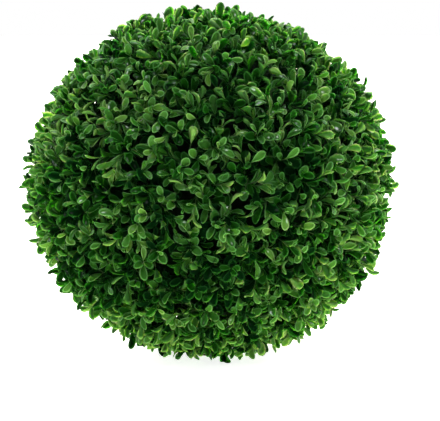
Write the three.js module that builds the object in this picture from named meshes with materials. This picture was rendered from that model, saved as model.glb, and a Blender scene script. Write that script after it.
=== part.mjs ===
// An artificial box topiary ball: leafy sprigs plugged all round a hollow plastic core, which is two half
// balls on a short stem. The foliage is clipped to an even ball that presses a little flat where it rests
// on the ground. Millimetres, +Z up. The origin is the middle of the flat cut under the stem, at the ground.
import * as THREE from "three";

// Driving dimensions.
const BALL_WIDTH = 380; // across the leaf tips
const BALL_HEIGHT = 365; // from top to bottom, before its weight settles it
const SETTLE = 2.5; // how much of the underside is pressed flat on the ground
const CORE_RADIUS = 138;
const CORE_WALL = 3.5;
const RIM_DEPTH = 9; // the flange where the two half cores meet, inwards from the outside
const RIM_HEIGHT = 4;
const SLEEVE_HEIGHT = 34; // the collar inside the lower half core that grips the stem
const SLEEVE_WALL = 4;
const STEM_FOOT_RADIUS = 17; // the flare at the ground
const STEM_BASE_RADIUS = 12; // the plain taper, which the flare adds to
const STEM_TIP_RADIUS = 10;
const STEM_HEIGHT = 96;
const STEM_BEVEL = 2; // at the tip
const FLARE_HEIGHT = 9; // how fast the flare dies away
const SIDE_PANELS = 6; // masses of foliage round each half of the ball
const CAP_TILT = THREE.MathUtils.degToRad(28); // how far the top and bottom masses reach from the poles
const GAP = 0.4; // between pieces that touch
const FOOT_CLEARANCE = 1.5; // round the stem's foot, where the leaves press loosely against it

// The fineness of the faceted surfaces.
const COLUMNS = 48;
const CAP_RINGS = 3;
const SIDE_RINGS = 7;
const CORE_INNER_RINGS = 6;
const STEM_COLUMNS = 24;
const STEM_RINGS = 8; // closer together towards the foot

// The clumps that make the clipped surface uneven.
const CLUMPS = 140;
const CLUMP_SEED = 7;
const CLUMP_HEIGHT = 3.4;
const CLUMP_SPREAD = 0.17; // radians

const HALF_WIDTH = BALL_WIDTH / 2;
const HALF_HEIGHT = BALL_HEIGHT / 2;
const CENTRE_HEIGHT = HALF_HEIGHT - SETTLE;
const EQUATOR = Math.PI / 2;
const TURN = Math.PI * 2;

const leafGreen = new THREE.MeshStandardMaterial({ color: 0x2f6f22, roughness: 0.5, metalness: 0 });
const corePlastic = new THREE.MeshStandardMaterial({ color: 0x07180a, roughness: 0.6, metalness: 0 });
const barkBrown = new THREE.MeshStandardMaterial({ color: 0x4a3a28, roughness: 0.8, metalness: 0 });

// A repeatable stream of numbers from 0 to 1.
function randomStream(seed) {
  let state = seed;
  return () => {
    state = (state * 1664525 + 1013904223) % 4294967296;
    return state / 4294967296;
  };
}

// The direction that leans "tilt" from straight up, "turn" round the Z axis.
function directionAt(tilt, turn) {
  const across = Math.sin(tilt);
  return new THREE.Vector3(across * Math.cos(turn), across * Math.sin(turn), Math.cos(tilt));
}

// Clumps spread evenly round the ball by the golden angle, each standing out or in by its own amount.
function makeClumps() {
  const random = randomStream(CLUMP_SEED);
  const goldenAngle = Math.PI * (3 - Math.sqrt(5));
  return Array.from({ length: CLUMPS }, (_, i) => ({
    direction: directionAt(Math.acos(1 - (2 * i + 1) / CLUMPS), i * goldenAngle),
    height: CLUMP_HEIGHT * (2 * random() - 1),
  }));
}

const clumps = makeClumps();

function unevenness(direction) {
  let height = 0;
  for (const clump of clumps) {
    const away = direction.angleTo(clump.direction) / CLUMP_SPREAD;
    height += clump.height * Math.exp(-away * away);
  }
  return height;
}

// A point on the outline of the foliage, pressed flat where it would go below the ground.
function outlinePoint(tilt, turn) {
  const direction = directionAt(tilt, turn);
  const reach = 1 + unevenness(direction) / HALF_WIDTH;
  const halfSizes = new THREE.Vector3(HALF_WIDTH, HALF_WIDTH, HALF_HEIGHT);
  const point = halfSizes.multiply(direction).multiplyScalar(reach);
  point.z = Math.max(point.z + CENTRE_HEIGHT, 0);
  return point;
}

// A point on the sphere that the foliage grows from, just clear of the core.
function rootPoint(tilt, turn) {
  const point = directionAt(tilt, turn).multiplyScalar(CORE_RADIUS + GAP);
  point.z += CENTRE_HEIGHT;
  return point;
}

function steps(from, to, count) {
  return Array.from({ length: count + 1 }, (_, i) => from + ((to - from) * i) / count);
}

// Joins closed loops of points, one after the other, into one closed surface. Open ends get a strip across
// the loop, whose second half runs back beside its first.
function skin(loops, wrapsRound) {
  const size = loops[0].length;
  const indices = [];
  const quad = (a, b, c, d) => indices.push(a, b, c, a, c, d);
  const spans = wrapsRound ? loops.length : loops.length - 1;
  for (let span = 0; span < spans; span += 1) {
    const near = span * size;
    const far = ((span + 1) % loops.length) * size;
    for (let j = 0; j < size; j += 1) {
      const next = (j + 1) % size;
      quad(near + j, near + next, far + next, far + j);
    }
  }
  if (!wrapsRound) {
    const last = (loops.length - 1) * size;
    for (let j = 0; j < size / 2 - 1; j += 1) {
      const back = size - 1 - j;
      quad(j, back, back - 1, j + 1);
      quad(last + j, last + j + 1, last + back - 1, last + back);
    }
  }
  const geometry = new THREE.BufferGeometry();
  const positions = loops.flat().flatMap((point) => point.toArray());
  geometry.setAttribute("position", new THREE.Float32BufferAttribute(positions, 3));
  geometry.setIndex(indices);
  geometry.computeVertexNormals();
  return geometry;
}

// One mass of foliage: the outline's points at each turn, and back along the core.
function foliage(name, outerTilts, innerTilts, turns, wrapsRound) {
  const loops = turns.map((turn) => [
    ...outerTilts.map((tilt) => outlinePoint(tilt, turn)),
    ...innerTilts.map((tilt) => rootPoint(tilt, turn)).reverse(),
  ]);
  const mesh = new THREE.Mesh(skin(loops, wrapsRound), leafGreen);
  mesh.name = name;
  return mesh;
}

// Half of a seam between two masses, as an angle at the core, where the seam is narrowest.
const seamTilt = GAP / 2 / CORE_RADIUS;
const allTurns = steps(0, TURN, COLUMNS).slice(0, -1);

function topFoliage() {
  const tilts = steps(0, CAP_TILT - seamTilt, CAP_RINGS);
  return foliage("foliage_top", tilts, tilts, allTurns, true);
}

// The bottom mass has a hole for the stem, which narrows as the stem does.
function bottomFoliage() {
  const footHole = Math.PI - Math.asin((STEM_FOOT_RADIUS + FOOT_CLEARANCE) / HALF_WIDTH);
  const coreHole = Math.PI - Math.asin((stemRadius(CENTRE_HEIGHT - CORE_RADIUS) + GAP) / CORE_RADIUS);
  const edge = Math.PI - CAP_TILT + seamTilt;
  const outerTilts = steps(edge, footHole, CAP_RINGS);
  const innerTilts = steps(edge, coreHole, CAP_RINGS);
  return foliage("foliage_bottom", outerTilts, innerTilts, allTurns, true);
}

// The panels between a polar mass and the equator, side by side all round.
function sideFoliage(half, fromTilt, toTilt) {
  const tilts = steps(fromTilt + seamTilt, toTilt - seamTilt, SIDE_RINGS);
  const seamTurn = seamTilt / Math.sin(CAP_TILT);
  const width = TURN / SIDE_PANELS;
  return Array.from({ length: SIDE_PANELS }, (_, i) => {
    const turns = steps(i * width, (i + 1) * width, COLUMNS / SIDE_PANELS);
    turns[0] += seamTurn;
    turns[turns.length - 1] -= seamTurn;
    return foliage(`foliage_${half}_${i + 1}`, tilts, tilts, turns, false);
  });
}

// A solid turned about the Z axis from a closed profile of [radius, height] points.
function turned(name, profile, columns, material) {
  const points = profile.map(([radius, height]) => new THREE.Vector2(radius, height));
  const geometry = new THREE.LatheGeometry(points, columns, EQUATOR);
  geometry.rotateX(Math.PI / 2);
  const mesh = new THREE.Mesh(geometry, material);
  mesh.name = name;
  return mesh;
}

function arc(radius, tilts) {
  return tilts.map((tilt) => [radius * Math.sin(tilt), CENTRE_HEIGHT + radius * Math.cos(tilt)]);
}

function upperCore() {
  const inside = CORE_RADIUS - CORE_WALL;
  const rimRadius = CORE_RADIUS - RIM_DEPTH;
  const rim = CENTRE_HEIGHT + GAP / 2;
  const rimTilt = Math.acos(RIM_HEIGHT / inside);
  const outerTilts = [...steps(EQUATOR, CAP_TILT, SIDE_RINGS), ...steps(CAP_TILT, 0, CAP_RINGS).slice(1)];
  const profile = [
    [rimRadius, rim],
    [CORE_RADIUS, rim],
    ...arc(CORE_RADIUS, outerTilts).slice(1),
    ...arc(inside, steps(0, rimTilt, CORE_INNER_RINGS)),
    [rimRadius, CENTRE_HEIGHT + RIM_HEIGHT],
    [rimRadius, rim],
  ];
  return turned("core_upper", profile, COLUMNS, corePlastic);
}

// The lower half core also has the hole and collar for the stem.
function lowerCore() {
  const inside = CORE_RADIUS - CORE_WALL;
  const rimRadius = CORE_RADIUS - RIM_DEPTH;
  const rim = CENTRE_HEIGHT - GAP / 2;
  const rimTilt = Math.PI - Math.acos(RIM_HEIGHT / inside);
  const bottom = CENTRE_HEIGHT - CORE_RADIUS;
  const bore = stemRadius(bottom) + GAP;
  const sleeveRadius = bore + SLEEVE_WALL;
  const boreTilt = Math.PI - Math.asin(bore / CORE_RADIUS);
  const sleeveTilt = Math.PI - Math.asin(sleeveRadius / inside);
  const edge = Math.PI - CAP_TILT;
  const outerTilts = [...steps(boreTilt, edge, CAP_RINGS), ...steps(edge, EQUATOR, SIDE_RINGS).slice(1)];
  const profile = [
    ...arc(CORE_RADIUS, outerTilts).slice(0, -1),
    [CORE_RADIUS, rim],
    [rimRadius, rim],
    [rimRadius, CENTRE_HEIGHT - RIM_HEIGHT],
    ...arc(inside, steps(rimTilt, sleeveTilt, CORE_INNER_RINGS)),
    [sleeveRadius, bottom + SLEEVE_HEIGHT],
    [bore, bottom + SLEEVE_HEIGHT],
    arc(CORE_RADIUS, [boreTilt])[0],
  ];
  return turned("core_lower", profile, COLUMNS, corePlastic);
}

// The stem's radius at a height: a flare at the foot that dies away over a plain taper.
function stemRadius(height) {
  const plain = THREE.MathUtils.lerp(STEM_BASE_RADIUS, STEM_TIP_RADIUS, height / STEM_HEIGHT);
  const flare = STEM_FOOT_RADIUS - STEM_BASE_RADIUS;
  return plain + flare * Math.exp(-height / FLARE_HEIGHT);
}

function stem() {
  const shoulder = STEM_HEIGHT - STEM_BEVEL;
  const heights = steps(0, 1, STEM_RINGS).map((share) => share * share * shoulder);
  const profile = [
    [0, 0],
    ...heights.map((height) => [stemRadius(height), height]),
    [STEM_TIP_RADIUS - STEM_BEVEL, STEM_HEIGHT],
    [0, STEM_HEIGHT],
  ];
  return turned("stem", profile, STEM_COLUMNS, barkBrown);
}

const ball = new THREE.Group();
ball.add(
  stem(),
  lowerCore(),
  upperCore(),
  bottomFoliage(),
  ...sideFoliage("lower", EQUATOR, Math.PI - CAP_TILT),
  ...sideFoliage("upper", CAP_TILT, EQUATOR),
  topFoliage(),
);

export default ball;
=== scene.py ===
"""An artificial box topiary ball: sprigs of moulded leaves in a hollow plastic core on a short stem.

Metres, +Z up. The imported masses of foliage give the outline. Each is replaced by leaves that grow from
twigs, the twigs fork from stalks, and the stalks stand in sockets all round the core.
"""
import math

import bmesh
import bpy
import numpy as np
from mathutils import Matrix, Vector, noise
from mathutils.bvhtree import BVHTree


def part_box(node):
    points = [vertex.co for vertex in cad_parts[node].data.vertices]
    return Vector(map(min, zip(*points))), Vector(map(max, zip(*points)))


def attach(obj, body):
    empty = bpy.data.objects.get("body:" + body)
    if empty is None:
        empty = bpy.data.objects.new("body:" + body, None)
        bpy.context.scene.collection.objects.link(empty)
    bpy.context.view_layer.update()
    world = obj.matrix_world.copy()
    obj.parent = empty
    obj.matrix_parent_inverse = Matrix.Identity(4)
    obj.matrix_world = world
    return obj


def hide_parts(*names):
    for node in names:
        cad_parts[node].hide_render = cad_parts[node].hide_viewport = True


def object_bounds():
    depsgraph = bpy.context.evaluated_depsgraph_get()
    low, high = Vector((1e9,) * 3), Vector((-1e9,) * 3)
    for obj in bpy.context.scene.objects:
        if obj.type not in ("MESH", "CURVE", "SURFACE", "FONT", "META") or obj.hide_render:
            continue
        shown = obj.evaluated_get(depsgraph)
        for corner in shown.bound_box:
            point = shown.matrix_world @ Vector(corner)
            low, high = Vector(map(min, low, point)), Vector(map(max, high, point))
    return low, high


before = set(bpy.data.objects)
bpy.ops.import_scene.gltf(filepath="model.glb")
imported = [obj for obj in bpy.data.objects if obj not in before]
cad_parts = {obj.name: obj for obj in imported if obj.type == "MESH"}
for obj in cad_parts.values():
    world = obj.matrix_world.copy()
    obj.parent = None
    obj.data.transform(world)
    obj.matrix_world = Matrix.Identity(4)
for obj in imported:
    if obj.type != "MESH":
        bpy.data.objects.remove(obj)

CAD_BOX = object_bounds()
MASSES = sorted(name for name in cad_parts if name.startswith("foliage"))
MM = 0.001
SEED = 3
SEARCH_FROM = 1.1  # of the ball's height, out from its middle, where the search for the outline starts
NEARLY_UPRIGHT = 0.9  # the height of a direction beyond which its cross axes start from X, not from Z

# The sprigs. Each socket in the core holds a stalk, which forks into twigs that each make for their own
# share of the outline.
SOCKETS = 264
TWIG_ENDS = 1560
END_JITTER = 0.19  # of the space between twig ends
SPRIG_PULL = 0.02  # how far a sprig draws its twig ends in, of their way to its middle
POLE_CLEARANCE = math.radians(7.5)  # nothing grows this near to the axis underneath, where the stem is
STALK_RISE = (14 * MM, 20 * MM)  # from the core to the stalk's end
STALK_LEAN = 0.10  # radians from square to the core
FORKING = (0.45, 1.0)  # the stretch of the stalk that twigs leave from
STALK_RADIUS = 1.3 * MM
STALK_SIDES = 6
TWIG_RADIUS = (0.85 * MM, 0.45 * MM)  # at the fork and at the end
TWIG_SIDES = 4
TUBE_RINGS = 4  # of points along each stalk and twig
BEND_REACH = 0.5  # of the twig's span, that it makes for along its stalk before it turns to its end
TWIG_BULGE = 8.5 * MM  # how far a twig bends aside on its way
END_DEPTH = 12.9 * MM  # from the outline of the leaf tips down to the end of a twig
END_SPREAD = 1.9 * MM
SPRIG_DEPTH_SPREAD = 1.5 * MM  # whole sprigs stand deeper or prouder than their neighbours
FLATTENING = 1.0 * MM  # how much deeper twigs end at the top and underneath, and prouder round the middle
SKIRT_DROP = 3 * MM  # how much prouder the lowest twigs end, so that their leaves hide the stem's foot
SKIRT_ANGLE = math.radians(25)  # from straight down
STRAY_SHARE = 0.03  # of the twigs, which the shears have missed
STRAY_RISE = 3 * MM
SUNK_SHARE = 0.03  # of the twigs, which leave a hollow
SUNK_DEPTH = 8 * MM

# The leaves sit on the twig in opposite pairs, each turned a quarter from the last. One row for each pair,
# from the end of the twig inwards.
PAIR_BACK = np.array([0, 6.5, 13, 19, 26]) * MM  # from the twig's end
PAIR_LENGTH = np.array([16, 18, 19, 19.5, 19.5]) * MM
PAIR_LEAN = np.radians([16, 23, 29, 36, 43])  # between the twig and the leaf's foot
PAIR_REACH = np.radians([76, 90, 99, 106, 112])  # between the twig and the leaf's tip
STRAIGHT_FOOT = 0.30  # the share of a leaf that stays straight before it curls out
LEAF_WIDTH_SHARE = 0.45  # of its length
LEAF_SIZE_SPREAD = 0.09
LEAF_SIZE_LIMITS = (0.75, 1.25)
LEAF_WIDTH_SPREAD = 0.07
LEAF_WIDTH_LIMITS = (0.85, 1.2)
LEAN_SPREAD = 0.20  # this and the four below in radians
REACH_SPREAD = 0.30
PAIR_TURN_SPREAD = 0.22  # round the twig, for the pair
LEAF_TURN_SPREAD = 0.12  # and for each of its leaves
TWIST_SPREAD = 0.30  # along the leaf
FIRST_NODE = 0.05  # of the twig's length: no pair sits nearer to its fork
LEAF_LOST_SHARE = np.array([0.03, 0.05, 0.07, 0.14, 0.50])  # of each pair
LEAF_WAIST = 0.16  # half width of the foot as a share of the widest
WIDEST_AT = 0.67
FOOT_STATIONS = np.array([0.20, 0.45])  # where the leaf is measured along its midrib, up to the widest
END_ANGLES = np.radians([0, 30, 57, 78])  # and round its end, which is half an ellipse
RIM_WIDTH = 1.15 * MM
FOOT_RIM_SHARE = 0.5  # of the rim's width, across the leaf's foot
FOOT_BLADE_SHARE = 0.35  # of the leaf's half width near its foot, which the rim leaves to the blade
CUP = 1.35 * MM  # how far the edge rises above the midrib
CUP_SPREAD = 0.3
CUP_LIMITS = (0.3, 1.6)
CUP_INSIDE_RIM = 0.60  # of the cup, which leaves the rest for the rim's lip
KEEL = 0.60  # how far the underside's midrib hangs down, as a share of the cup
SQUASH_BAND = 4 * MM  # above the ground, where leaves are pressed flat

# Base colours, linear, from the darkest leaves to the palest: the blade, its rim, and the underside.
# A rim paler than its blade is partly a paler moulded lip, partly painted highlight on the lip.
TONES = {
    "night": ((0.001, 0.011, 0.002), (0.005, 0.028, 0.006), (0.003, 0.018, 0.003)),
    "deep": ((0.004, 0.035, 0.002), (0.015, 0.080, 0.013), (0.010, 0.052, 0.005)),
    "mid": ((0.020, 0.096, 0.010), (0.045, 0.178, 0.036), (0.030, 0.120, 0.018)),
    "bright": ((0.041, 0.150, 0.018), (0.080, 0.247, 0.058), (0.057, 0.178, 0.032)),
    "lime": ((0.080, 0.212, 0.028), (0.140, 0.315, 0.078), (0.104, 0.242, 0.044)),
}
SIDES = ("blade", "rim", "under")
SIDE_ROUGHNESS = (0.19, 0.34, 0.52)
SIDE_SPECULAR = (1.0, 0.3, 0.4)  # of its tone's
SIDE_SUBSURFACE = (0.42, 0.2, 0.42)  # less in the rim, which is seen against the light
SUBSURFACE_RADIUS = (0.5, 1.0, 0.2)  # of the scale, for red, green and blue
SUBSURFACE_SCALE = 1.4 * MM
TONE_SPECULAR = (0.04, 0.10, 0.55, 0.75, 0.75)  # the dark leaves inside are dusty and dull
# The share of each tone in each pair, in the orders above. Paler outer pairs and darker inner ones are partly
# their own tone, partly painted light and shade.
TONE_SHARES = np.array([
    [0.02, 0.10, 0.34, 0.36, 0.18],
    [0.12, 0.34, 0.36, 0.15, 0.03],
    [0.35, 0.42, 0.18, 0.04, 0.01],
    [0.60, 0.35, 0.05, 0.00, 0.00],
    [0.80, 0.20, 0.00, 0.00, 0.00],
])

# Neighbouring sprigs are alike, so the ball has paler and darker patches.
PATCH_FREQUENCY = 2.5  # of the noise over the ball, for each radius
PATCH_PLACE = Vector((92.25, 0.25, 0.75))  # in the noise
PATCH_STRENGTH = 1.2  # in tones, for each unit of the noise
SPRIG_TONE_SPREAD = 0.27  # in tones
MOST_SPRIG_SHIFT = 1  # tone
TWIG_SHIFTS = {-1: 0.07, 0: 0.85, 1: 0.08}  # how many tones paler a twig is than its sprig, and how often

# The stalks' and the twigs' plastic.
STALK_COLOUR = (0.010, 0.022, 0.005)
TWIG_COLOUR = (0.018, 0.055, 0.008)
TWIG_ROUGHNESS = 0.5  # and the stalks'

# The core and the stem.
CORE_WALL = 3.5 * MM
PANEL_SHARES = (0.62, 0.80)  # how far a sunk panel reaches towards its cell's corners and sides
PANEL_FOOT_SHARE = 0.9  # of the panel's width, at its depth
PANEL_DEPTH = 1.5 * MM
CELL_BORDER = 6  # points round each cell: its corners and the middles of its sides
CELL_SIDE = 3 * CELL_BORDER  # points on the outside of each cell, and as many on its inside
LOWEST_CELL = 4  # the least that a cell's top stands above the middle, in seam gaps
WELD = 0.001 * MM
SEAM_GAP = 0.4 * MM  # from the middle to each half
RIM_DEPTH = 9 * MM
RIM_HEIGHT = 4 * MM
SLEEVE_HEIGHT = 34 * MM
SLEEVE_WALL = 4 * MM
SLEEVE_FIT = 0.4 * MM  # between the stem and the sleeve round it
SLEEVE_COLUMNS = 32
SLEEVE_CORNERS = 12  # of the shell's cells, round the hole that the sleeve stands in
COLLAR_RADII = (1.7 * MM, 3.2 * MM)  # inside and outside
COLLAR_HEIGHT = 4.5 * MM
COLLAR_ROOT = 1 * MM  # of the collar and the stalk, sunk in the shell
COLLAR_COLUMNS = 8
SEAM_COLUMNS = 96
BARK_RINGS = 64
BARK_COLUMNS = 56
BARK_RELIEF = 1.4 * MM
FURROW_SHARE, CRACK_SHARE = 0.7, 0.3  # of the relief
FURROW_FREQUENCY = (3.5, 25)  # of the noise: round the stem, for each radius, and along it, for each metre
FURROW_FRACTAL = (1.0, 2.0, 4)  # how fast its octaves fade, how much finer each is and how many there are
CRACK_FREQUENCY = (2, 160)
CRACK_PLACE = (5, 5)  # in the noise, away from the furrows' part of it

# The texture that the core and the bark share.
GRAIN_DETAIL = 6
GRAIN_ENDS = (0.35, 0.68)  # where in the noise the dark and the light colour are reached
GRAIN_GLOSS = (-0.08, 0.12)  # added to the roughness at the two ends of the noise
GRAIN_BUMP = 0.4 * MM
GRAIN_SPECULAR = 0.12

random = np.random.default_rng(SEED)


def core_sphere():
    """The centre and radius of the core, from the box of its lower half, which ends at the seam."""
    _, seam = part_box("core_lower")
    return np.array([0.0, 0.0, seam.z]), seam.x


CENTRE, CORE_RADIUS = core_sphere()


# Vectors and shapes


def unit(vectors):
    return vectors / np.linalg.norm(vectors, axis=-1, keepdims=True)


def golden_directions(count):
    """Directions spread evenly over a sphere by the golden angle."""
    index = np.arange(count)
    height = 1 - (2 * index + 1) / count
    turn = index * math.pi * (3 - math.sqrt(5))
    across = np.sqrt(1 - height**2)
    return np.stack([across * np.cos(turn), across * np.sin(turn), height], axis=1)


def jittered(directions, angle):
    return unit(directions + random.normal(0, angle, directions.shape))


def spread(shape, most=2):
    """Normal random numbers, none beyond so many standard deviations."""
    return random.normal(0, 1, shape).clip(-most, most)


def cross_axes(headings):
    """Two directions square to each heading and to each other."""
    helper = np.where(np.abs(headings[..., 2:]) < NEARLY_UPRIGHT, [0.0, 0.0, 1.0], [1.0, 0.0, 0.0])
    first = unit(np.cross(headings, helper))
    return first, np.cross(headings, first)


def curve_point(start, bend, end, share):
    """The point at a share of the way along a curve from start to end that bends towards a third point."""
    return (1 - share) ** 2 * start + 2 * share * (1 - share) * bend + share**2 * end


def curve_heading(start, bend, end, share):
    return unit((1 - share) * (bend - start) + share * (end - bend))


def make_piece(name, points, triangles, materials, material_index=None, smooth=True):
    """A mesh object from arrays of points and triangles."""
    mesh = bpy.data.meshes.new(name)
    mesh.vertices.add(len(points))
    mesh.vertices.foreach_set("co", np.asarray(points, np.float32).ravel())
    mesh.loops.add(triangles.size)
    mesh.loops.foreach_set("vertex_index", triangles.astype(np.int32).ravel())
    mesh.polygons.add(len(triangles))
    mesh.polygons.foreach_set("loop_start", np.arange(0, triangles.size, 3, dtype=np.int32))
    mesh.polygons.foreach_set("use_smooth", np.full(len(triangles), smooth))
    for material in materials:
        mesh.materials.append(material)
    if material_index is not None:
        mesh.polygons.foreach_set("material_index", material_index.astype(np.int32))
    mesh.update(calc_edges=True)
    piece = bpy.data.objects.new(name, mesh)
    bpy.context.scene.collection.objects.link(piece)
    return piece


def declare(piece, slot, *replaced):
    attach(piece, "root")
    if replaced:
        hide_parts(*replaced)


# Materials


def principled(name, colour, roughness, **sockets):
    material = bpy.data.materials.new(name)
    material.use_nodes = True
    shader = material.node_tree.nodes["Principled BSDF"]
    shader.inputs["Base Color"].default_value = (*colour, 1)
    shader.inputs["Roughness"].default_value = roughness
    for socket, value in sockets.items():
        shader.inputs[socket.replace("_", " ")].default_value = value
    return material


def leaf_materials():
    """Three plain plastics for each tone, in the orders of TONES and SIDES."""
    materials = []
    for (tone, colours), specular in zip(TONES.items(), TONE_SPECULAR):
        looks = zip(SIDES, colours, SIDE_ROUGHNESS, SIDE_SPECULAR, SIDE_SUBSURFACE)
        for side, colour, roughness, share, subsurface in looks:
            materials.append(principled(
                f"leaf_{tone}_{side}", colour, roughness,
                Specular_IOR_Level=specular * share,
                Subsurface_Weight=subsurface,
                Subsurface_Radius=SUBSURFACE_RADIUS,
                Subsurface_Scale=SUBSURFACE_SCALE,
            ))
    return materials


def textured(name, dark, light, scale, roughness, bump, stretch=(1, 1, 1)):
    """A plastic whose colour, gloss and relief follow one noise in the object's own space."""
    material = principled(name, dark, roughness)
    nodes, links = material.node_tree.nodes, material.node_tree.links
    shader = nodes["Principled BSDF"]
    place = nodes.new("ShaderNodeTexCoord")
    mapping = nodes.new("ShaderNodeMapping")
    mapping.inputs["Scale"].default_value = stretch
    grain = nodes.new("ShaderNodeTexNoise")
    grain.inputs["Scale"].default_value = scale
    grain.inputs["Detail"].default_value = GRAIN_DETAIL
    ramp = nodes.new("ShaderNodeValToRGB")
    ramp.color_ramp.elements[0].position = GRAIN_ENDS[0]
    ramp.color_ramp.elements[0].color = (*dark, 1)
    ramp.color_ramp.elements[1].position = GRAIN_ENDS[1]
    ramp.color_ramp.elements[1].color = (*light, 1)
    gloss = nodes.new("ShaderNodeMapRange")
    gloss.inputs["To Min"].default_value = roughness + GRAIN_GLOSS[0]
    gloss.inputs["To Max"].default_value = roughness + GRAIN_GLOSS[1]
    relief = nodes.new("ShaderNodeBump")
    relief.inputs["Strength"].default_value = bump
    relief.inputs["Distance"].default_value = GRAIN_BUMP
    links.new(place.outputs["Object"], mapping.inputs["Vector"])
    links.new(mapping.outputs["Vector"], grain.inputs["Vector"])
    links.new(grain.outputs["Fac"], ramp.inputs["Fac"])
    links.new(grain.outputs["Fac"], gloss.inputs["Value"])
    links.new(grain.outputs["Fac"], relief.inputs["Height"])
    links.new(ramp.outputs["Color"], shader.inputs["Base Color"])
    links.new(gloss.outputs["Result"], shader.inputs["Roughness"])
    links.new(relief.outputs["Normal"], shader.inputs["Normal"])
    shader.inputs["Specular IOR Level"].default_value = GRAIN_SPECULAR
    return material


# The outline


def outline_tree():
    """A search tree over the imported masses, and the number of the mass that each of its faces belongs to."""
    points, faces, owners = [], [], []
    for number, name in enumerate(MASSES):
        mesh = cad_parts[name].data
        start = len(points)
        points += [vertex.co.copy() for vertex in mesh.vertices]
        faces += [[start + i for i in face.vertices] for face in mesh.polygons]
        owners += [number] * len(mesh.polygons)
    return BVHTree.FromPolygons(points, faces), owners


def outline_reach(directions):
    """How far the outline is from the centre in each direction, and whose mass it is."""
    tree, owners = outline_tree()
    outside = max(CAD_BOX[1]) * SEARCH_FROM
    reaches, masses = [], []
    for direction in directions:
        start = Vector(CENTRE + direction * outside)
        place, _, face, _ = tree.find_nearest(start)
        reaches.append((place - Vector(CENTRE)).length)
        masses.append(owners[face])
    return np.array(reaches), np.array(masses)


# Sprigs


def grow_sprigs():
    """The stalks and the twigs as curves of three points, the mass and the socket of each twig, and the
    direction of each socket."""
    sockets = golden_directions(SOCKETS)
    sockets = sockets[sockets[:, 2] > -math.cos(POLE_CLEARANCE)]
    spacing = math.sqrt(4 * math.pi / TWIG_ENDS)
    ends = jittered(golden_directions(TWIG_ENDS), END_JITTER * spacing)
    ends = ends[ends[:, 2] > -math.cos(POLE_CLEARANCE)]
    owner = np.argmax(ends @ sockets.T, axis=1)
    ends = unit(ends + SPRIG_PULL * (sockets[owner] - ends))
    reach, mass = outline_reach(ends)

    rise = random.uniform(*STALK_RISE, len(sockets))[:, None]
    leaning = jittered(sockets, STALK_LEAN)
    foot = CENTRE + sockets * (CORE_RADIUS - COLLAR_ROOT)
    fork = CENTRE + sockets * CORE_RADIUS + leaning * rise
    stalks = (foot, (foot + fork) / 2, fork)

    depth = END_DEPTH + END_SPREAD * spread(len(ends)) + (SPRIG_DEPTH_SPREAD * spread(len(sockets)))[owner]
    depth = depth + FLATTENING * (2 * ends[:, 2]**2 - 1)
    depth = np.where(ends[:, 2] < -math.cos(SKIRT_ANGLE), depth - SKIRT_DROP, depth)
    stray = random.random(len(ends)) < STRAY_SHARE
    depth = np.where(stray, depth - STRAY_RISE, depth)
    depth = np.where(random.random(len(ends)) < SUNK_SHARE, depth + SUNK_DEPTH, depth)
    tip = CENTRE + ends * (reach - depth)[:, None]
    start = foot[owner] + (fork - foot)[owner] * random.uniform(*FORKING, (len(ends), 1))
    span = np.linalg.norm(tip - start, axis=1, keepdims=True)
    bend = start + leaning[owner] * span * BEND_REACH + random.normal(0, TWIG_BULGE, tip.shape)
    twigs = (start, bend, tip)
    return stalks, twigs, mass, owner, sockets


def tubes(curves, radii, sides, rings):
    """Tapered tubes along curves of three points, closed at both ends: points and triangles."""
    start, bend, end = (points[:, None, None, :] for points in curves)
    share = np.linspace(0, 1, rings)[None, :, None, None]
    middle = curve_point(start, bend, end, share)
    first, second = cross_axes(curve_heading(start, bend, end, share))
    turn = np.linspace(0, 2 * math.pi, sides, endpoint=False)[None, None, :, None]
    radius = radii[0] + (radii[1] - radii[0]) * share
    points = middle + radius * (np.cos(turn) * first + np.sin(turn) * second)
    count = len(points)
    ring = np.arange(sides)
    after = (ring + 1) % sides
    faces = []
    for k in range(rings - 1):
        low, high = k * sides, (k + 1) * sides
        faces.append(np.stack([low + ring, low + after, high + after], axis=1))
        faces.append(np.stack([low + ring, high + after, high + ring], axis=1))
    fan = np.arange(1, sides - 1)
    last = (rings - 1) * sides
    faces.append(np.stack([0 * fan, fan + 1, fan], axis=1))
    faces.append(np.stack([last + 0 * fan, last + fan, last + fan + 1], axis=1))
    faces = np.concatenate(faces)
    size = rings * sides
    triangles = faces[None] + (np.arange(count) * size)[:, None, None]
    return points.reshape(-1, 3), triangles.reshape(-1, 3)


# Leaves


def opening(share):
    """How far the leaf has opened from its narrow foot, as a share of its widest."""
    before = np.clip(share / WIDEST_AT, 0, 1)
    return LEAF_WAIST + (1 - LEAF_WAIST) * before**2 * (3 - 2 * before)


def leaf_template():
    """One leaf's triangles, and the side that each is on. Its points are the edge from the foot up one side,
    over the tip and back, the same again at the rim's inner side, then the midrib above and below."""
    count = len(FOOT_STATIONS) + len(END_ANGLES)
    ribs = count - 1
    ring = 2 * count + 2
    edge, inner = 0, ring
    above, below = 2 * ring, 2 * ring + ribs
    rim, blade, under = [], [], []
    for i in range(ring):
        j = (i + 1) % ring
        rim += [(edge + i, edge + j, inner + j), (edge + i, inner + j, inner + i)]
    for faces, border, rib in ((blade, inner, above), (under, edge, below)):
        for k in range(ribs - 1):
            left, right = border + 1 + k, border + ring - 1 - k
            faces += [(left, left + 1, rib + k + 1), (left, rib + k + 1, rib + k)]
            faces += [(rib + k, rib + k + 1, right - 1), (rib + k, right - 1, right)]
        faces += [(border, border + 1, rib), (border, rib, border + ring - 1)]
        round_tip = range(ribs, ribs + 4)  # the edges between the last rib's ends, by way of the tip
        faces += [(border + i, border + i + 1, rib + ribs - 1) for i in round_tip]
    under = [face[::-1] for face in under]
    sides = []
    for side, faces in (("rim", rim), ("blade", blade), ("under", under)):
        sides += [SIDES.index(side)] * len(faces)
    return np.array(rim + blade + under), np.array(sides)


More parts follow.
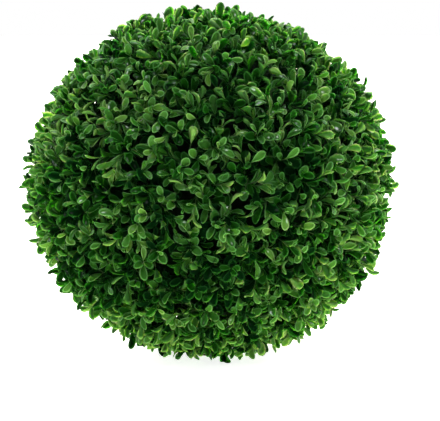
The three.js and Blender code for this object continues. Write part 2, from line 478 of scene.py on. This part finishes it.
def both_sides(foot, values, tip, sign):
    """The values of one side as a ring: the foot, up one side, the tip and back down the other."""
    return np.concatenate([foot, values, tip, sign * values[:, ::-1]], axis=1)


def leaf_plan(length, width, cup):
    """Each point's place along the midrib as a share, its place across and its lift off the midrib in
    metres, one row a leaf."""
    length, half, cup = length[:, None], width[:, None] / 2, cup[:, None]
    nothing, one = np.zeros_like(half), np.ones_like(half)
    rim = RIM_WIDTH / length
    end = 1 - WIDEST_AT
    foot_along, foot_half = FOOT_STATIONS * one, opening(FOOT_STATIONS) * half
    edge_along = np.concatenate([foot_along, WIDEST_AT + end * np.sin(END_ANGLES) * one], axis=1)
    edge_half = np.concatenate([foot_half, half * np.cos(END_ANGLES)], axis=1)
    inner_along = np.concatenate([foot_along, WIDEST_AT + (end - rim) * np.sin(END_ANGLES)], axis=1)
    inner_foot = np.maximum(foot_half - RIM_WIDTH, FOOT_BLADE_SHARE * foot_half)
    inner_half = np.concatenate([inner_foot, (half - RIM_WIDTH) * np.cos(END_ANGLES)], axis=1)
    middle = inner_along[:, :-1]

    along = np.concatenate([
        both_sides(nothing, edge_along, one, 1),
        both_sides(FOOT_RIM_SHARE * rim, inner_along, 1 - rim, 1),
        middle,
        middle,
    ], axis=1)
    across = np.concatenate([
        both_sides(nothing, -edge_half, nothing, -1),
        both_sides(nothing, -inner_half, nothing, -1),
        0 * middle,
        0 * middle,
    ], axis=1)
    ring = 2 * edge_along.shape[1] + 2
    share = np.concatenate([
        np.full(ring, 1.0),
        np.full(ring, CUP_INSIDE_RIM),
        np.zeros(middle.shape[1]),
        np.full(middle.shape[1], -KEEL),
    ])
    lift = cup * share * opening(along)
    return along, across, lift


def leaf_points(leaves):
    """Every point of every leaf. A leaf's midrib is an arc that leans out from the twig's axis, and the
    blade is cupped across it and twisted along it."""
    along, across, lift = leaf_plan(leaves["length"], leaves["width"], leaves["cup"])
    lean, reach = leaves["lean"][:, None], leaves["reach"][:, None]
    angle = lean + (reach - lean) * np.maximum(along - STRAIGHT_FOOT, 0) / (1 - STRAIGHT_FOOT)
    bend_radius = leaves["length"][:, None] * (1 - STRAIGHT_FOOT) / (reach - lean)
    straight = leaves["length"][:, None] * np.minimum(along, STRAIGHT_FOOT)
    up = straight * np.cos(lean) + bend_radius * (np.sin(angle) - np.sin(lean))
    away = straight * np.sin(lean) + bend_radius * (np.cos(lean) - np.cos(angle))

    axis, out = leaves["axis"][:, None, :], leaves["out"][:, None, :]
    side = np.cross(axis, out)
    face = np.sin(angle)[..., None] * axis - np.cos(angle)[..., None] * out
    twist = (leaves["twist"][:, None] * along)[..., None]
    turned_side = np.cos(twist) * side + np.sin(twist) * face
    turned_face = np.cos(twist) * face - np.sin(twist) * side
    points = leaves["base"][:, None, :] + up[..., None] * axis + away[..., None] * out
    points = points + across[..., None] * turned_side + lift[..., None] * turned_face
    return press_on_ground(points)


def press_on_ground(points):
    """Whatever would go below the ground is squeezed into a thin band above it."""
    low = np.minimum(points[..., 2], SQUASH_BAND)
    pressed = SQUASH_BAND * np.exp((low - SQUASH_BAND) / SQUASH_BAND)
    points[..., 2] = np.where(points[..., 2] < SQUASH_BAND, pressed, points[..., 2])
    return points


def pick_tones(pairs, shift):
    """A tone for each leaf by its pair, made paler or darker by its shift."""
    ladder = np.cumsum(TONE_SHARES, axis=1)[pairs]
    tone = (random.random(pairs.shape)[..., None] > ladder).sum(axis=-1)
    return np.clip(tone + shift, 0, len(TONES) - 1)


def sprig_shifts(sockets):
    """How many tones paler or darker each sprig is."""
    patch = np.array([noise.noise(Vector(socket) * PATCH_FREQUENCY + PATCH_PLACE) for socket in sockets])
    shift = np.rint(PATCH_STRENGTH * patch + SPRIG_TONE_SPREAD * spread(len(sockets)))
    return shift.clip(-MOST_SPRIG_SHIFT, MOST_SPRIG_SHIFT).astype(int)


def grow_leaves(twigs, mass, owner, sockets):
    """The leaves of all twigs, as arrays with one row a leaf."""
    start, bend, end = (points[:, None, :] for points in twigs)
    count, pairs = len(end), len(PAIR_BACK)
    span = np.linalg.norm(end - start, axis=-1)
    share = np.clip(1 - PAIR_BACK[None, :] / span, FIRST_NODE, 1)[..., None]
    node = curve_point(start, bend, end, share)
    heading = curve_heading(start, bend, end, share)
    first, second = cross_axes(heading)
    turn = random.uniform(0, 2 * math.pi, (count, 1)) + np.arange(pairs) * math.pi / 2
    turn = turn + random.normal(0, PAIR_TURN_SPREAD, (count, pairs))
    turn = turn[..., None] + np.array([0, math.pi]) + random.normal(0, LEAF_TURN_SPREAD, (count, pairs, 2))
    out = np.cos(turn)[..., None] * first[:, :, None] + np.sin(turn)[..., None] * second[:, :, None]

    shape = (count, pairs, 2)
    size = random.normal(1, LEAF_SIZE_SPREAD, shape).clip(*LEAF_SIZE_LIMITS)
    length = PAIR_LENGTH[None, :, None] * size
    slimness = random.normal(1, LEAF_WIDTH_SPREAD, shape).clip(*LEAF_WIDTH_LIMITS)
    width = length * LEAF_WIDTH_SHARE * slimness
    sprig_shift = sprig_shifts(sockets)[owner]
    twig_shift = random.choice(list(TWIG_SHIFTS), count, p=list(TWIG_SHIFTS.values()))
    shift = (sprig_shift + twig_shift)[:, None, None]
    pair_number = np.broadcast_to(np.arange(pairs)[None, :, None], shape)
    leaves = {
        "base": np.broadcast_to(node[:, :, None], (*shape, 3)) + out * TWIG_RADIUS[1],
        "axis": np.broadcast_to(heading[:, :, None], (*shape, 3)),
        "out": out,
        "length": length,
        "width": width,
        "lean": PAIR_LEAN[None, :, None] + LEAN_SPREAD * spread(shape),
        "reach": PAIR_REACH[None, :, None] + REACH_SPREAD * spread(shape),
        "cup": CUP * random.normal(1, CUP_SPREAD, shape).clip(*CUP_LIMITS),
        "twist": random.normal(0, TWIST_SPREAD, shape),
        "tone": pick_tones(pair_number, shift),
        "mass": np.broadcast_to(mass[:, None, None], shape),
    }
    kept = random.random(shape) > LEAF_LOST_SHARE[None, :, None]
    return {field: values[kept] for field, values in leaves.items()}


def build_leaves(twigs, mass, owner, sockets):
    """One piece for each mass of foliage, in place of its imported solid."""
    leaves = grow_leaves(twigs, mass, owner, sockets)
    points = leaf_points(leaves)
    triangles, sides = leaf_template()
    materials = leaf_materials()
    for number, name in enumerate(MASSES):
        chosen = leaves["mass"] == number
        own = points[chosen]
        faces = triangles[None] + (np.arange(len(own)) * own.shape[1])[:, None, None]
        slots = len(SIDES) * leaves["tone"][chosen][:, None] + sides[None]
        piece_name = name.replace("foliage", "leaves")
        piece = make_piece(piece_name, own.reshape(-1, 3), faces.reshape(-1, 3), materials, slots.ravel())
        declare(piece, "foliage", name)


def build_twigs(stalks, twigs):
    stalk_points, stalk_faces = tubes(stalks, (STALK_RADIUS, TWIG_RADIUS[0]), STALK_SIDES, TUBE_RINGS)
    twig_points, twig_faces = tubes(twigs, TWIG_RADIUS, TWIG_SIDES, TUBE_RINGS)
    stalk_plastic = principled("stalk_plastic", STALK_COLOUR, TWIG_ROUGHNESS)
    twig_plastic = principled("twig_plastic", TWIG_COLOUR, TWIG_ROUGHNESS)
    declare(make_piece("stalks", press_on_ground(stalk_points), stalk_faces, [stalk_plastic]), "foliage")
    declare(make_piece("twigs", press_on_ground(twig_points), twig_faces, [twig_plastic]), "foliage")


# Core and stem


def core_triangles(directions):
    """The triangles between neighbouring directions: the faces of their convex hull."""
    shape = bmesh.new()
    for direction in directions:
        shape.verts.new(direction)
    bmesh.ops.convex_hull(shape, input=shape.verts)
    shape.verts.index_update()
    triangles = np.array([[vertex.index for vertex in face.verts] for face in shape.faces])
    shape.free()
    corners = directions[triangles]
    normal = np.cross(corners[:, 1] - corners[:, 0], corners[:, 2] - corners[:, 0])
    inward = (normal * corners.sum(axis=1)).sum(axis=1) < 0
    triangles[inward] = triangles[inward][:, ::-1]
    return triangles


def cell_plan():
    """One cell of the shell. The points are weights of the cell's three corners: the outer triangle with
    the middles of its sides, then the rounded panel inside it and the panel's foot, first for the shell's
    outside and again for its inside. Also the triangles."""
    corner = np.eye(3)
    middle = (corner + np.roll(corner, -1, axis=0)) / 2
    border = np.stack([corner, middle], axis=1).reshape(CELL_BORDER, 3)
    centre = np.full(3, 1 / 3)
    panel = centre + (border - centre) * np.array(PANEL_SHARES * (CELL_BORDER // 2))[:, None]
    foot = centre + (panel - centre) * PANEL_FOOT_SHARE
    ring = np.arange(CELL_BORDER)
    after = np.roll(ring, -1)
    faces = []
    for outer in (0, CELL_BORDER):
        inner = outer + CELL_BORDER
        faces.append(np.stack([outer + ring, outer + after, inner + after], axis=1))
        faces.append(np.stack([outer + ring, inner + after, inner + ring], axis=1))
    fan = 2 * CELL_BORDER + ring[1:-1]
    faces.append(np.stack([0 * fan + 2 * CELL_BORDER, fan, fan + 1], axis=1))
    outside = np.concatenate(faces)
    return np.concatenate([border, panel, foot] * 2), np.concatenate([outside, outside[:, ::-1] + CELL_SIDE])


def half_shell(directions, triangles, half):
    """One half of the shell, closed along its edges. What would cross the seam is drawn back to it. half is
    1 above, -1 below."""
    seam = SEAM_GAP / CORE_RADIUS
    corners = directions[triangles] * [1, 1, half]
    corners = corners[corners[..., 2].max(axis=1) > LOWEST_CELL * seam]
    corners[..., 2] = np.maximum(corners[..., 2], seam)
    plan, faces = cell_plan()
    shell = unit(np.einsum("pc,tcx->tpx", plan, unit(corners)))
    shell[..., 2] = np.maximum(shell[..., 2], seam)
    panel_depth = np.repeat([0, 0, PANEL_DEPTH], CELL_BORDER)
    radius = CORE_RADIUS - np.concatenate([panel_depth, np.full(CELL_SIDE, CORE_WALL)])
    points, number = welded((shell * radius[:, None]).reshape(-1, 3))
    number = number.reshape(len(shell), 2 * CELL_SIDE)
    triangles = np.concatenate([number[:, faces].reshape(-1, 3), edge_walls(number)])
    return points * [1, 1, half] + CENTRE, triangles


def welded(points):
    """The different points, and the number among them of each of the points given."""
    _, first, number = np.unique(np.round(points / WELD), axis=0, return_index=True, return_inverse=True)
    return points[first], number.ravel()


def edge_walls(number):
    """The triangles between the shell's outside and inside, along the cell sides that have no neighbour."""
    start, end = number[:, :CELL_BORDER], np.roll(number[:, :CELL_BORDER], -1, axis=1)
    start_inside = number[:, CELL_SIDE:CELL_SIDE + CELL_BORDER]
    end_inside = np.roll(start_inside, -1, axis=1)
    size = number.max() + 1
    alone = ~np.isin(end * size + start, start * size + end)
    corners = (start, end, start_inside, end_inside)
    start, end, start_inside, end_inside = (numbers[alone] for numbers in corners)
    return np.concatenate([
        np.stack([end, start, start_inside], axis=1),
        np.stack([end, start_inside, end_inside], axis=1),
    ])


def turned(profile, columns):
    """A closed profile of (radius, height) corners turned about the Z axis: points and triangles."""
    profile = np.array(profile)
    turn = np.linspace(0, 2 * math.pi, columns, endpoint=False)
    radius, height = profile[:, 0], profile[:, 1]
    points = np.stack([
        np.cos(turn)[:, None] * radius,
        np.sin(turn)[:, None] * radius,
        np.broadcast_to(height, (columns, len(profile))),
    ], axis=-1)
    size = len(profile)
    faces = []
    for column in range(columns):
        here, there = column * size, (column + 1) % columns * size
        for k in range(size):
            after = (k + 1) % size
            faces.append((here + k, there + k, there + after))
            faces.append((here + k, there + after, here + after))
    return points.reshape(-1, 3), np.array(faces)


def box_ring(inside, outside, low, high, columns):
    return turned([(inside, low), (outside, low), (outside, high), (inside, high)], columns)


def socket_collars(directions):
    """A short tube round the foot of each stalk."""
    inside, outside = COLLAR_RADII
    points, faces = box_ring(inside, outside, -COLLAR_ROOT, COLLAR_HEIGHT, COLLAR_COLUMNS)
    first, second = cross_axes(directions)
    frames = np.stack([first, second, directions], axis=1)
    placed = np.einsum("px,dxy->dpy", points, frames) + CENTRE + (directions * CORE_RADIUS)[:, None]
    shifted = faces[None] + (np.arange(len(directions)) * len(points))[:, None, None]
    return placed.reshape(-1, 3), shifted.reshape(-1, 3)


def joined(parts):
    """Several (points, triangles) pairs as one."""
    start, points, faces = 0, [], []
    for part_points, part_faces in parts:
        points.append(part_points)
        faces.append(part_faces + start)
        start += len(part_points)
    return np.concatenate(points), np.concatenate(faces)


def shell_corners(sockets, hole):
    """The corners of the shell's cells: the sockets and a ring round the hole underneath. Also the cells'
    triangles, but for those that would close the hole."""
    turn = np.linspace(0, 2 * math.pi, SLEEVE_CORNERS, endpoint=False)
    across = hole / CORE_RADIUS
    down = -math.sqrt(1 - across**2) * np.ones_like(turn)
    ring = np.stack([across * np.cos(turn), across * np.sin(turn), down], axis=1)
    corners = np.concatenate([sockets, ring, [[0.0, 0.0, -1.0]]])
    triangles = core_triangles(corners)
    pole = len(corners) - 1
    return corners, triangles[(triangles != pole).all(axis=1)]


def build_core(sockets):
    """Two half balls of near-black plastic with a dark green tint that is partly painted shade, ribbed
    between the sockets, each with a rim at the seam. The lower one has a sleeve for the stem."""
    bottom = CENTRE[2] - CORE_RADIUS
    bore = stem_radius(bottom) + SLEEVE_FIT
    corners, triangles = shell_corners(sockets, bore + SLEEVE_WALL / 2)
    # The core's own black plastic, tinted green as painted shade for the deep gaps between the sprigs.
    plastic = textured(
        "core_plastic", dark=(0.0006, 0.0045, 0.0008), light=(0.002, 0.011, 0.002),
        scale=900, roughness=0.6, bump=0.25,
    )
    sleeve = box_ring(bore, bore + SLEEVE_WALL, bottom, bottom + SLEEVE_HEIGHT, SLEEVE_COLUMNS)
    for half, name, fittings in ((1, "upper", []), (-1, "lower", [sleeve])):
        low, high = sorted([CENTRE[2] + half * SEAM_GAP, CENTRE[2] + half * RIM_HEIGHT])
        rim = box_ring(CORE_RADIUS - RIM_DEPTH, CORE_RADIUS, low, high, SEAM_COLUMNS)
        collars = socket_collars(sockets[sockets[:, 2] * half > 0])
        points, faces = joined([half_shell(corners, triangles, half), rim, collars, *fittings])
        piece = make_piece(f"half_ball_{name}", points, faces, [plastic], smooth=False)
        declare(piece, "core_plastic", f"core_{name}")


def stem_rings():
    """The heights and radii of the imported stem's own rings."""
    radii = {}
    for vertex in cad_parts["stem"].data.vertices:
        height = round(vertex.co.z, 5)  # to a hundredth of a millimetre
        radii[height] = max(radii.get(height, 0), math.hypot(vertex.co.x, vertex.co.y))
    heights = sorted(radii)
    return heights, [radii[height] for height in heights]


def stem_radius(height):
    heights, radii = stem_rings()
    return np.interp(height, heights, radii)


def bark_depth(ring, height):
    """How deep the bark is cut, as a share of its relief: long furrows that wander, and cracks across."""
    around, along = FURROW_FREQUENCY
    furrow = noise.fractal(ring * around + Vector((0, 0, height * along)), *FURROW_FRACTAL)
    around, along = CRACK_FREQUENCY
    crack = noise.noise(ring * around + Vector((*CRACK_PLACE, height * along)))
    return FURROW_SHARE * abs(furrow) + CRACK_SHARE * max(crack, 0)


def build_stem():
    """The stem with moulded bark."""
    heights, radii = stem_rings()
    top = heights[-1]
    levels = np.linspace(0, top, BARK_RINGS)
    turns = np.linspace(0, 2 * math.pi, BARK_COLUMNS, endpoint=False)
    points = []
    for height in levels:
        radius = np.interp(height, heights, radii)
        for turn in turns:
            ring = Vector((math.cos(turn), math.sin(turn), 0))
            depth = BARK_RELIEF * bark_depth(ring, height)
            points.append(ring * (radius - depth) + Vector((0, 0, height)))
    points += [Vector((0, 0, 0)), Vector((0, 0, top))]
    faces = []
    bottom_middle, top_middle = len(points) - 2, len(points) - 1
    last = (BARK_RINGS - 1) * BARK_COLUMNS
    for column in range(BARK_COLUMNS):
        after = (column + 1) % BARK_COLUMNS
        for k in range(BARK_RINGS - 1):
            low, high = k * BARK_COLUMNS, (k + 1) * BARK_COLUMNS
            faces.append((low + column, low + after, high + after))
            faces.append((low + column, high + after, high + column))
        faces.append((after, column, bottom_middle))
        faces.append((last + column, last + after, top_middle))
    bark = textured(
        "stem_bark", dark=(0.035, 0.020, 0.010), light=(0.130, 0.082, 0.045),
        scale=160, roughness=0.7, bump=0.6, stretch=(1, 1, 0.3),
    )
    declare(make_piece("stem_bark", np.array(points), np.array(faces), [bark]), "stem_bark", "stem")


stalks, twigs, twig_mass, twig_socket, sockets = grow_sprigs()
build_leaves(twigs, twig_mass, twig_socket, sockets)
build_twigs(stalks, twigs)
build_core(sockets)
build_stem()


# Camera, floor and light

CAMERA_DISTANCE = 1.53  # from the middle of the ball
CAMERA_HEIGHT_ANGLE = math.radians(6)
LENS = 120  # millimetres of focal length
AIM_RIGHT = 11 * MM  # the camera looks past the ball's middle by this much, which sets the ball in the frame
AIM_BELOW = 28.5 * MM
FLOOR_HALF = 60  # metres
TABLE_WHITE = (0.85, 0.85, 0.85)
TABLE_ROUGHNESS = 0.9
TABLE_GLOW = 1.0
SURROUND = 0.015  # how strongly the surround lights the ball, where the camera sees it at 1
NEUTRAL, COOL, WARM = (1, 1, 1), (0.98, 1.0, 1.05), (1.10, 0.86, 0.38)
BLUISH, PALE_BLUE, CREAM = (0.92, 1.0, 1.12), (0.92, 1.0, 1.05), (1.03, 0.95, 0.78)
# The softboxes, the lit backdrop and the lit table: where each stands, how wide it is as the ball sees it,
# its strength and its colour.
LIGHTS = {
    "softbox_left": ((-1, 0.45, 0.08), math.radians(40), 0.25, NEUTRAL),
    "softbox_right": ((1, 0.30, 0.03), math.radians(40), 0.28, NEUTRAL),
    "softbox_above": ((0.10, 0.15, 1), math.radians(40), 0.95, BLUISH),
    "softbox_front": ((0.10, -0.85, 0.58), math.radians(18), 0.82, COOL),
    "backdrop_glow": ((0, 1, 0.40), math.radians(120), 14.0, CREAM),
    "backdrop_sheen": ((0, 1, 0.30), math.radians(120), 2.0, PALE_BLUE),
    "table_light": ((0.35, 0.3, -1), math.radians(100), 11.0, WARM),
}
WITHOUT_SHEEN = ("backdrop_glow", "table_light")  # they light the leaves and aren't mirrored in them


def look_at(item, target):
    item.rotation_euler = (Vector(target) - item.location).to_track_quat("-Z", "Y").to_euler()


def build_camera():
    camera = bpy.data.objects.new("camera", bpy.data.cameras.new("camera"))
    camera.data.lens = LENS
    away = Vector((0, -math.cos(CAMERA_HEIGHT_ANGLE), math.sin(CAMERA_HEIGHT_ANGLE)))
    camera.location = Vector(CENTRE) + away * CAMERA_DISTANCE
    look_at(camera, Vector(CENTRE) + Vector((AIM_RIGHT, 0, -AIM_BELOW)))
    bpy.context.scene.collection.objects.link(camera)
    bpy.context.scene.camera = camera


def build_world():
    """A surround that the camera sees as plain white, and that hardly lights the ball."""
    world = bpy.data.worlds.new("studio")
    world.use_nodes = True
    nodes, links = world.node_tree.nodes, world.node_tree.links
    seen, lit = nodes["Background"], nodes.new("ShaderNodeBackground")
    seen.inputs["Color"].default_value = (1, 1, 1, 1)
    lit.inputs["Color"].default_value = (1, 1, 1, 1)
    lit.inputs["Strength"].default_value = SURROUND
    rays, choice = nodes.new("ShaderNodeLightPath"), nodes.new("ShaderNodeMixShader")
    links.new(rays.outputs["Is Camera Ray"], choice.inputs["Fac"])
    links.new(lit.outputs["Background"], choice.inputs[1])
    links.new(seen.outputs["Background"], choice.inputs[2])
    links.new(choice.outputs["Shader"], nodes["World Output"].inputs["Surface"])
    bpy.context.scene.world = world


def build_floor():
    """A white table that glows. The table light shines through it from below."""
    floor_points = np.array([(-1, -1, 0), (1, -1, 0), (1, 1, 0), (-1, 1, 0)]) * FLOOR_HALF
    floor_faces = np.array([(0, 1, 2), (0, 2, 3)])
    table = principled(
        "table", TABLE_WHITE, TABLE_ROUGHNESS, Emission_Color=(*TABLE_WHITE, 1), Emission_Strength=TABLE_GLOW
    )
    floor = make_piece("floor", floor_points, floor_faces, [table], smooth=False)
    floor.visible_glossy = False
    floor.visible_shadow = False


def build_lights():
    for name, (place, width, strength, colour) in LIGHTS.items():
        light = bpy.data.objects.new(name, bpy.data.lights.new(name, "SUN"))
        light.data.energy = strength
        light.data.angle = width
        light.data.color = colour
        light.visible_glossy = name not in WITHOUT_SHEEN
        light.location = place
        look_at(light, (0, 0, 0))
        bpy.context.scene.collection.objects.link(light)


build_camera()
build_world()
build_floor()
build_lights()
bpy.context.scene.view_settings.view_transform = "Standard"
